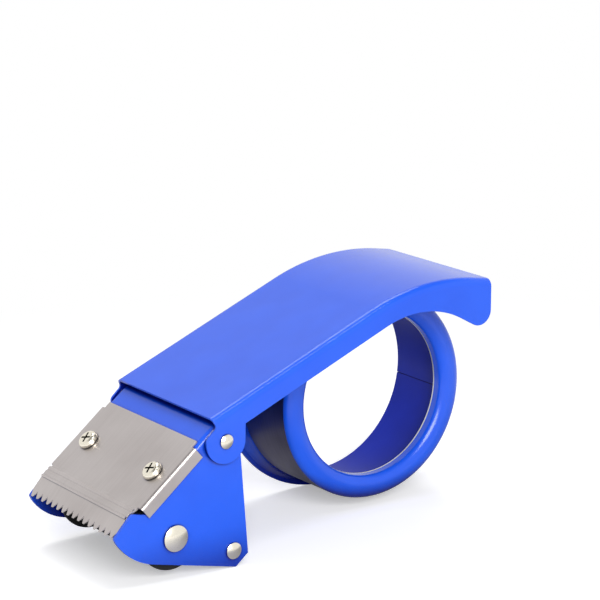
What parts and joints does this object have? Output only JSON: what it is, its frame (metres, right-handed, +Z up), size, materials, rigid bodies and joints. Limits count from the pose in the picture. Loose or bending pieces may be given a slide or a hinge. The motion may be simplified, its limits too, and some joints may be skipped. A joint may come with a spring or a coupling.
{
  "type": "handheld tape dispenser",
  "caption": "Handheld sheet-metal dispenser for carton sealing tape: blue handle hinged on a head with a toothed cutter, a rubber roller, a guide and a fixed roll hub",
  "frame": {"origin": "the roll hub's axis, in the middle of the width", "axes": "+Z up, -X towards the cutter, -Y the side from which the roll is slid on"},
  "size_m": [0.1591, 0.0646, 0.0842],
  "materials": {
    "blue_paint": "glossy_enamel",
    "stainless_sheet": "rolled_mill_finish",
    "bare_strip": "cold_rolled_strip",
    "nickel_fastener": "nickel_plated",
    "zinc_hardware": "zinc_plated",
    "black_rubber": "matt_moulded",
    "hard_plastic": "moulded"
  },
  "bodies": {
    "frame": {"head_frame": "blue_paint", "cutter_plate": "stainless_sheet", "cutter_screws": "nickel_fastener", "cutter_lock_washers": "zinc_hardware", "cutter_nuts": "zinc_hardware", "roller_axle": "nickel_fastener", "thrust_washer_left": "zinc_hardware", "thrust_washer_right": "zinc_hardware", "guide_pin": "nickel_fastener", "pivot_rivet_left": "nickel_fastener", "pivot_rivet_right": "nickel_fastener", "pivot_spacer_left": "zinc_hardware", "pivot_spacer_right": "zinc_hardware", "hub_drum": "bare_strip", "hub_grip_rim": "blue_paint", "hub_flange_rim": "blue_paint"},
    "handle": {"handle_shell": "blue_paint"},
    "roller": {"roller_tyre": "black_rubber", "roller_core": "hard_plastic"},
    "guide_roll": {"guide_sleeve": "zinc_hardware"}
  },
  "joints": [
    {"name": "handle_hinge", "type": "hinge", "parent": "frame", "child": "handle", "pos_m": [-0.0779, 0, 0.0034], "axis": [0, -1, 0], "range_deg": [0, 40]},
    {"name": "roller_spin", "type": "hinge", "parent": "frame", "child": "roller", "pos_m": [-0.0966, 0, -0.0265], "axis": [0, 1, 0], "continuous": true},
    {"name": "guide_spin", "type": "hinge", "parent": "frame", "child": "guide_roll", "pos_m": [-0.0744, 0, -0.0352], "axis": [0, 1, 0], "continuous": true}
  ]
}
